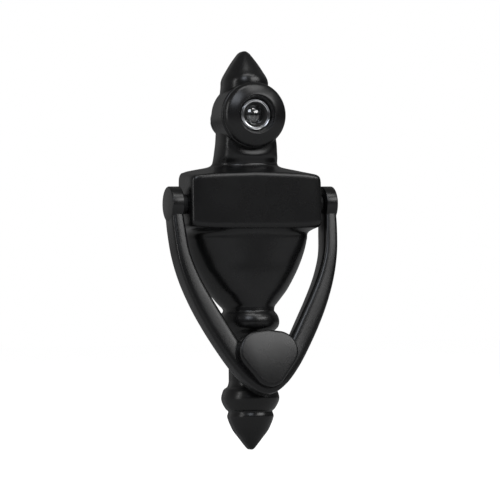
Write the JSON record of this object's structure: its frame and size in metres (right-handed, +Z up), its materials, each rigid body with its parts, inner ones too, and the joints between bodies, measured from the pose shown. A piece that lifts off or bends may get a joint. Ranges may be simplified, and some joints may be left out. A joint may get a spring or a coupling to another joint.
{
  "type": "door knocker with viewer",
  "caption": "Cast urn-shaped door knocker with a swinging bail and a wide-angle door viewer in its upper boss.",
  "frame": {"origin": "where the viewer's axis meets the door face, on the back rim of the casting", "axes": "+Z up along the casting, -Y out of the door towards the visitor, +X to the right as seen from inside the door"},
  "size_m": [0.0752, 0.0527, 0.1718],
  "materials": {
    "black_cast": "satin black powder coat",
    "bright_metal": "bright nickel",
    "steel": "zinc plated",
    "glass": "clear polished",
    "black_plastic": "matt moulded"
  },
  "bodies": {
    "knocker": {"body": "black_cast", "pivot_bushings": "black_plastic", "strike_bumper": "black_plastic", "viewer_bezel": "black_cast", "viewer_barrel": "bright_metal", "barrel_washer": "steel", "barrel_nut": "steel", "front_lens": "glass", "lens_retainer": "black_plastic", "front_spacer": "black_plastic", "mid_lens": "glass", "light_stop": "black_plastic", "rear_spacer": "black_plastic", "inner_lens": "glass"},
    "bail": {"bail": "black_cast", "pivot_pins": "steel"},
    "inside_washer": {"door_washer": "black_plastic"},
    "eyepiece": {"eyepiece_tube": "bright_metal", "eyepiece_lens": "glass", "eyepiece_retainer": "black_plastic"}
  },
  "joints": [
    {"name": "bail_swing", "type": "hinge", "parent": "knocker", "child": "bail", "pos_m": [0, -0.008, -0.038], "axis": [-1, 0, 0], "range_deg": [0, 120]},
    {"name": "eyepiece_travel", "type": "slide", "parent": "knocker", "child": "inside_washer", "axis": [0, 1, 0], "range_m": [0, 0.0231]},
    {"name": "eyepiece_turn", "type": "hinge", "parent": "inside_washer", "child": "eyepiece", "pos_m": [0, 0.02, 0], "axis": [0, 1, 0], "range_deg": [0, 8280]}
  ],
  "couplings": [
    {"joint": "eyepiece_travel", "follows": "eyepiece_turn", "m_per_rad": 0.00015915}
  ]
}
